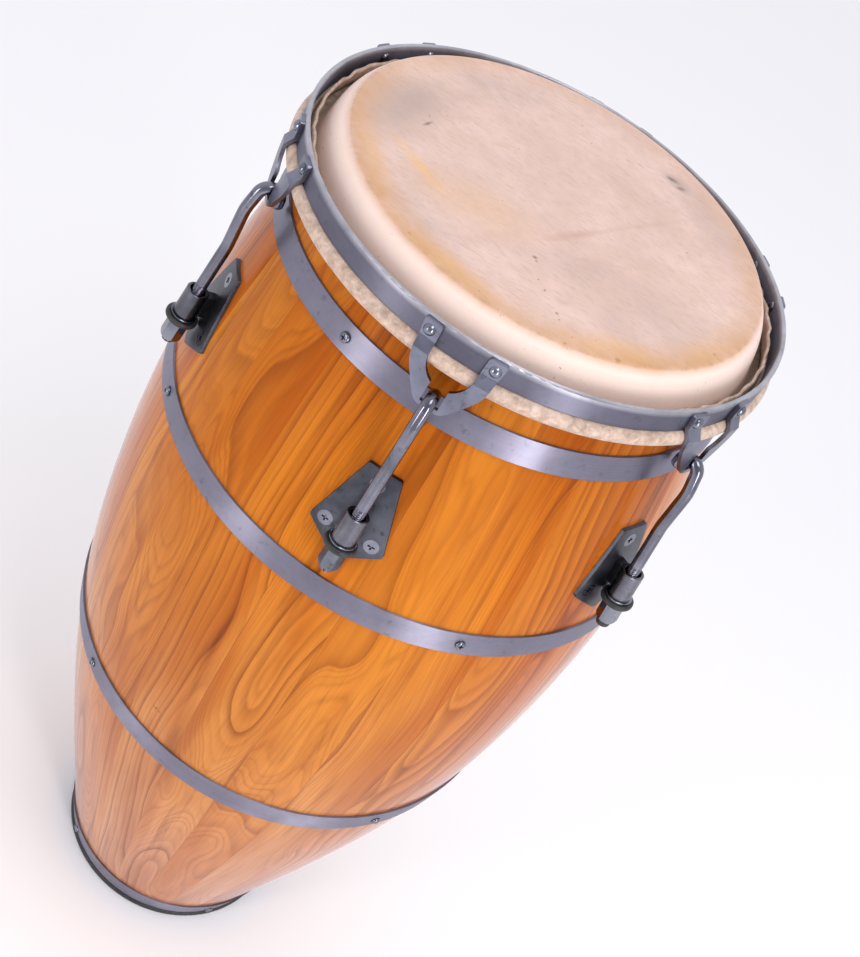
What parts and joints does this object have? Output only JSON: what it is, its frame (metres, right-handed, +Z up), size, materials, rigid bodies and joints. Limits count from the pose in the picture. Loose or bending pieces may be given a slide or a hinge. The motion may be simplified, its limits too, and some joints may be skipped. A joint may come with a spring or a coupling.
{
  "type": "conga drum",
  "caption": "Tall staved wooden hand drum with a barrel profile, steel bands, rawhide head and hooked tension rods.",
  "frame": {"origin": "centre of the base, on the surface the drum stands on", "axes": "+Z up along the drum's axis; lug 1 faces -Y and the lugs are numbered towards +X"},
  "size_m": [0.3706, 0.4018, 0.7715],
  "materials": {
    "stave_wood": "clear glossy lacquer over amber-orange ash with dark cathedral grain",
    "black_rubber": "matt black moulded rubber",
    "hoop_steel": "plain round steel hoop, hidden inside the hide",
    "rawhide": "cream rawhide, matt, with grey smudges, yellow streaks and specks",
    "rim_steel": "satin grey steel strip",
    "rivet_steel": "polished rivet heads",
    "bright_zinc": "bright zinc plate",
    "band_steel": "brushed stainless strip with fine scratches",
    "screw_steel": "polished pan heads",
    "strap_steel": "satin grey plated strap",
    "rod_steel": "bright plated rod",
    "nut_steel": "bright plated hexagon nut",
    "plate_steel": "dark grey cast-looking plate",
    "socket_steel": "satin grey steel tube"
  },
  "bodies": {
    "shell": {"base_band": "band_steel", "base_band_screws": "screw_steel", "base_ring": "black_rubber", "inner_nuts": "bright_zinc", "inner_washers": "bright_zinc", "lower_band": "band_steel", "lower_band_screws": "screw_steel", "lug_plate_1": "plate_steel", "lug_plate_2": "plate_steel", "lug_plate_3": "plate_steel", "lug_plate_4": "plate_steel", "lug_plate_5": "plate_steel", "lug_plate_6": "plate_steel", "lug_socket_1": "socket_steel", "lug_socket_2": "socket_steel", "lug_socket_3": "socket_steel", "lug_socket_4": "socket_steel", "lug_socket_5": "socket_steel", "lug_socket_6": "socket_steel", "middle_band": "band_steel", "middle_band_screws": "screw_steel", "plate_screws": "bright_zinc", "rubber_washers": "black_rubber", "shell_staves": "stave_wood", "steel_washers": "bright_zinc", "upper_band": "band_steel", "upper_band_screws": "screw_steel"},
    "counterhoop": {"rim": "rim_steel", "flesh_hoop": "hoop_steel", "drum_head": "rawhide", "strap_rivets": "rivet_steel", "rim_strap_1": "strap_steel", "rim_strap_2": "strap_steel", "rim_strap_3": "strap_steel", "rim_strap_4": "strap_steel", "rim_strap_5": "strap_steel", "rim_strap_6": "strap_steel"},
    "rod_1": {"tension_rod_1": "rod_steel"},
    "rod_2": {"tension_rod_2": "rod_steel"},
    "rod_3": {"tension_rod_3": "rod_steel"},
    "rod_4": {"tension_rod_4": "rod_steel"},
    "rod_5": {"tension_rod_5": "rod_steel"},
    "rod_6": {"tension_rod_6": "rod_steel"},
    "nut_1": {"tuning_nut_1": "nut_steel"},
    "nut_2": {"tuning_nut_2": "nut_steel", "nut_cap_2": "black_rubber"},
    "nut_3": {"tuning_nut_3": "nut_steel", "nut_cap_3": "black_rubber"},
    "nut_4": {"tuning_nut_4": "nut_steel", "nut_cap_4": "black_rubber"},
    "nut_5": {"tuning_nut_5": "nut_steel", "nut_cap_5": "black_rubber"},
    "nut_6": {"tuning_nut_6": "nut_steel"}
  },
  "joints": [
    {"name": "tuning_travel", "type": "slide", "parent": "shell", "child": "counterhoop", "axis": [0, 0, 1], "range_m": [0, 0.006]},
    {"name": "rod_1_slide", "type": "slide", "parent": "shell", "child": "rod_1", "axis": [0, 0.1305, 0.9914], "range_m": [0, 0.00606]},
    {"name": "rod_2_slide", "type": "slide", "parent": "shell", "child": "rod_2", "axis": [-0.113, 0.0653, 0.9914], "range_m": [0, 0.00606]},
    {"name": "rod_3_slide", "type": "slide", "parent": "shell", "child": "rod_3", "axis": [-0.113, -0.0653, 0.9914], "range_m": [0, 0.00606]},
    {"name": "rod_4_slide", "type": "slide", "parent": "shell", "child": "rod_4", "axis": [0, -0.1305, 0.9914], "range_m": [0, 0.00606]},
    {"name": "rod_5_slide", "type": "slide", "parent": "shell", "child": "rod_5", "axis": [0.113, -0.0653, 0.9914], "range_m": [0, 0.00606]},
    {"name": "rod_6_slide", "type": "slide", "parent": "shell", "child": "rod_6", "axis": [0.113, 0.0653, 0.9914], "range_m": [0, 0.00606]},
    {"name": "nut_1_turn", "type": "hinge", "parent": "shell", "child": "nut_1", "pos_m": [0, -0.19123, 0.59883], "axis": [0, -0.1305, -0.9914], "range_deg": [0, 1545]},
    {"name": "nut_2_turn", "type": "hinge", "parent": "shell", "child": "nut_2", "pos_m": [0.16561, -0.09562, 0.59883], "axis": [0.113, -0.0653, -0.9914], "range_deg": [0, 1545]},
    {"name": "nut_3_turn", "type": "hinge", "parent": "shell", "child": "nut_3", "pos_m": [0.16561, 0.09562, 0.59883], "axis": [0.113, 0.0653, -0.9914], "range_deg": [0, 1545]},
    {"name": "nut_4_turn", "type": "hinge", "parent": "shell", "child": "nut_4", "pos_m": [0, 0.19123, 0.59883], "axis": [0, 0.1305, -0.9914], "range_deg": [0, 1545]},
    {"name": "nut_5_turn", "type": "hinge", "parent": "shell", "child": "nut_5", "pos_m": [-0.16561, 0.09562, 0.59883], "axis": [-0.113, 0.0653, -0.9914], "range_deg": [0, 1545]},
    {"name": "nut_6_turn", "type": "hinge", "parent": "shell", "child": "nut_6", "pos_m": [-0.16561, -0.09562, 0.59883], "axis": [-0.113, -0.0653, -0.9914], "range_deg": [0, 1545]}
  ],
  "couplings": [
    {"joint": "rod_1_slide", "follows": "tuning_travel", "ratio": 1.0086},
    {"joint": "rod_2_slide", "follows": "tuning_travel", "ratio": 1.0086},
    {"joint": "rod_3_slide", "follows": "tuning_travel", "ratio": 1.0086},
    {"joint": "rod_4_slide", "follows": "tuning_travel", "ratio": 1.0086},
    {"joint": "rod_5_slide", "follows": "tuning_travel", "ratio": 1.0086},
    {"joint": "rod_6_slide", "follows": "tuning_travel", "ratio": 1.0086},
    {"joint": "nut_1_turn", "follows": "tuning_travel", "rad_per_m": 4491.1},
    {"joint": "nut_2_turn", "follows": "tuning_travel", "rad_per_m": 4491.1},
    {"joint": "nut_3_turn", "follows": "tuning_travel", "rad_per_m": 4491.1},
    {"joint": "nut_4_turn", "follows": "tuning_travel", "rad_per_m": 4491.1},
    {"joint": "nut_5_turn", "follows": "tuning_travel", "rad_per_m": 4491.1},
    {"joint": "nut_6_turn", "follows": "tuning_travel", "rad_per_m": 4491.1}
  ]
}
